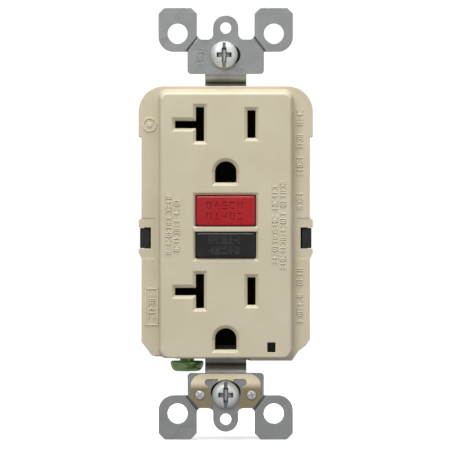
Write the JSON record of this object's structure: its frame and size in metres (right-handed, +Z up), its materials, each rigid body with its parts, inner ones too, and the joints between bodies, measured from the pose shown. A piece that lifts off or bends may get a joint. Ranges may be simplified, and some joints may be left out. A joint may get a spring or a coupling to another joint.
{
  "type": "ground-fault receptacle",
  "caption": "Decorator-size duplex ground-fault outlet with test and reset buttons, screw terminals and a steel mounting strap.",
  "frame": {"origin": "midway between the two wall-plate screw holes, on the wall side of the mounting strap", "axes": "+Z up as installed with the ground holes below the blades, -Y out of the wall towards the user, +X to the right seen from the front"},
  "size_m": [0.043, 0.034, 0.1068],
  "materials": {
    "ivory_plastic": "satin moulded",
    "black_plastic": "satin moulded",
    "grey_plastic": "moulded",
    "red_plastic": "satin moulded",
    "white_plastic": "moulded",
    "strap_steel": "zinc plated",
    "screw_steel": "zinc plated",
    "clip_brass": "dull yellow plating",
    "contact_brass": "plain",
    "tinned_brass": "tinned",
    "contact_silver": "plain",
    "copper": "plain copper",
    "enamel_wire": "enamelled winding",
    "core_steel": "plain",
    "board": "solder mask",
    "blue_epoxy": "dipped",
    "orange_epoxy": "dipped",
    "tan_epoxy": "dipped",
    "chip_black": "moulded",
    "lamp_clear": "clear",
    "smoke_clear": "smoked",
    "green_steel": "green dyed zinc",
    "fibre": "pressed fibre",
    "spring_steel": "plain"
  },
  "bodies": {
    "housing": {"mounting_strap": "strap_steel", "front_cover": "ivory_plastic", "rear_body": "black_plastic", "separator": "grey_plastic", "grounding_clip": "clip_brass", "ground_contacts": "contact_brass", "ground_rivets": "screw_steel", "hot_contact_frame": "contact_brass", "neutral_contact_frame": "tinned_brass", "fixed_contacts": "contact_silver", "line_hot_terminal": "contact_brass", "line_neutral_terminal": "tinned_brass", "line_conductors": "copper", "circuit_board": "board", "transformer_housing": "white_plastic", "sensing_core": "core_steel", "sensing_winding": "enamel_wire", "neutral_core": "core_steel", "neutral_winding": "enamel_wire", "solenoid_frame": "screw_steel", "solenoid_bobbin": "white_plastic", "solenoid_coil": "enamel_wire", "varistor": "blue_epoxy", "film_capacitor": "orange_epoxy", "ceramic_capacitors": "orange_epoxy", "control_chip": "chip_black", "scr": "chip_black", "resistors": "tan_epoxy", "diodes": "chip_black", "status_led": "lamp_clear", "light_pipe": "smoke_clear", "test_post": "tinned_brass", "housing_screws": "screw_steel", "reset_spring": "spring_steel", "plunger_spring": "spring_steel"},
    "reset": {"reset_button": "red_plastic", "reset_pin": "screw_steel"},
    "carrier": {"contact_carrier": "white_plastic", "latch_spring": "spring_steel"},
    "latch": {"latch_plate": "screw_steel"},
    "plunger": {"plunger": "screw_steel"},
    "hot_arm": {"hot_arm": "copper"},
    "neutral_arm": {"neutral_arm": "copper"},
    "test": {"test_button": "black_plastic"},
    "test_blade": {"test_blade": "contact_brass"},
    "top_washer": {"top_washer": "fibre"},
    "top_screw": {"top_mounting_screw": "screw_steel"},
    "bottom_washer": {"bottom_washer": "fibre"},
    "bottom_screw": {"bottom_mounting_screw": "screw_steel"},
    "ground_screw": {"ground_screw": "green_steel"},
    "line_hot_clamp": {"line_hot_clamp": "contact_brass"},
    "line_hot_screw": {"line_hot_screw": "contact_brass"},
    "line_neutral_clamp": {"line_neutral_clamp": "tinned_brass"},
    "line_neutral_screw": {"line_neutral_screw": "screw_steel"},
    "load_hot_clamp": {"load_hot_clamp": "contact_brass"},
    "load_hot_screw": {"load_hot_screw": "contact_brass"},
    "load_neutral_clamp": {"load_neutral_clamp": "tinned_brass"},
    "load_neutral_screw": {"load_neutral_screw": "screw_steel"}
  },
  "joints": [
    {"name": "reset_press", "type": "slide", "parent": "housing", "child": "reset", "axis": [0, 1, 0], "range_m": [0, 0.002], "stiffness_N_per_m": 400, "springref_m": -0.002, "deforming": ["reset_spring"]},
    {"name": "carrier_drop", "type": "slide", "parent": "housing", "child": "carrier", "axis": [0, 1, 0], "range_m": [0, 0.002]},
    {"name": "latch_slide", "type": "slide", "parent": "carrier", "child": "latch", "axis": [0, 0, -1], "range_m": [0, 0.0013], "stiffness_N_per_m": 200, "springref_m": -0.001, "deforming": ["latch_spring"]},
    {"name": "plunger_pull", "type": "slide", "parent": "housing", "child": "plunger", "axis": [0, 0, -1], "range_m": [0, 0.0013], "deforming": ["plunger_spring"]},
    {"name": "hot_arm_swing", "type": "hinge", "parent": "housing", "child": "hot_arm", "pos_m": [0.0115, 0.0151, -0.0156], "axis": [-1, 0, 0], "range_deg": [0, 6.2]},
    {"name": "neutral_arm_swing", "type": "hinge", "parent": "housing", "child": "neutral_arm", "pos_m": [-0.0115, 0.0151, -0.0156], "axis": [-1, 0, 0], "range_deg": [0, 6.2]},
    {"name": "test_press", "type": "slide", "parent": "housing", "child": "test", "axis": [0, 1, 0], "range_m": [0, 0.0015], "stiffness_N_per_m": 300, "springref_m": -0.002},
    {"name": "test_blade_bend", "type": "hinge", "parent": "housing", "child": "test_blade", "pos_m": [-0.0108, 0.00945, -0.0064], "axis": [0, 0, 1], "range_deg": [0, 8.1]},
    {"name": "top_screw_shift", "type": "slide", "parent": "housing", "child": "top_washer", "axis": [1, 0, 0], "range_m": [-0.0014, 0.002]},
    {"name": "top_screw_turn", "type": "hinge", "parent": "top_washer", "child": "top_screw", "pos_m": [-0.0004, 0, 0.04167], "axis": [0, -1, 0], "continuous": true},
    {"name": "bottom_screw_shift", "type": "slide", "parent": "housing", "child": "bottom_washer", "axis": [1, 0, 0], "range_m": [-0.0004, 0.0004]},
    {"name": "bottom_screw_turn", "type": "hinge", "parent": "bottom_washer", "child": "bottom_screw", "pos_m": [0, 0, -0.0424], "axis": [0, -1, 0], "continuous": true},
    {"name": "ground_screw_turn", "type": "hinge", "parent": "housing", "child": "ground_screw", "pos_m": [-0.0096, 0.006, -0.035], "axis": [0, 0, -1], "continuous": true},
    {"name": "line_hot_clamp_slide", "type": "slide", "parent": "housing", "child": "line_hot_clamp", "axis": [1, 0, 0], "range_m": [-0.0013, 0.0012]},
    {"name": "line_hot_screw_turn", "type": "hinge", "parent": "line_hot_clamp", "child": "line_hot_screw", "pos_m": [0.0187, 0.0162, -0.019], "axis": [1, 0, 0], "range_deg": [-590, 545]},
    {"name": "line_neutral_clamp_slide", "type": "slide", "parent": "housing", "child": "line_neutral_clamp", "axis": [-1, 0, 0], "range_m": [-0.0013, 0.0012]},
    {"name": "line_neutral_screw_turn", "type": "hinge", "parent": "line_neutral_clamp", "child": "line_neutral_screw", "pos_m": [-0.0187, 0.0162, -0.019], "axis": [-1, 0, 0], "range_deg": [-590, 545]},
    {"name": "load_hot_clamp_slide", "type": "slide", "parent": "housing", "child": "load_hot_clamp", "axis": [1, 0, 0], "range_m": [-0.0013, 0.0012]},
    {"name": "load_hot_screw_turn", "type": "hinge", "parent": "load_hot_clamp", "child": "load_hot_screw", "pos_m": [0.0187, 0.0162, 0.019], "axis": [1, 0, 0], "range_deg": [-590, 545]},
    {"name": "load_neutral_clamp_slide", "type": "slide", "parent": "housing", "child": "load_neutral_clamp", "axis": [-1, 0, 0], "range_m": [-0.0013, 0.0012]},
    {"name": "load_neutral_screw_turn", "type": "hinge", "parent": "load_neutral_clamp", "child": "load_neutral_screw", "pos_m": [-0.0187, 0.0162, 0.019], "axis": [-1, 0, 0], "range_deg": [-590, 545]}
  ],
  "couplings": [
    {"joint": "carrier_drop", "follows": "reset_press", "ratio": 1},
    {"joint": "hot_arm_swing", "follows": "reset_press", "rad_per_m": 53.476},
    {"joint": "neutral_arm_swing", "follows": "reset_press", "rad_per_m": 53.476},
    {"joint": "plunger_pull", "follows": "latch_slide", "ratio": 1},
    {"joint": "test_blade_bend", "follows": "test_press", "rad_per_m": 92.593},
    {"joint": "line_hot_screw_turn", "follows": "line_hot_clamp_slide", "rad_per_m": 7913.3},
    {"joint": "line_neutral_screw_turn", "follows": "line_neutral_clamp_slide", "rad_per_m": 7913.3},
    {"joint": "load_hot_screw_turn", "follows": "load_hot_clamp_slide", "rad_per_m": 7913.3},
    {"joint": "load_neutral_screw_turn", "follows": "load_neutral_clamp_slide", "rad_per_m": 7913.3}
  ]
}
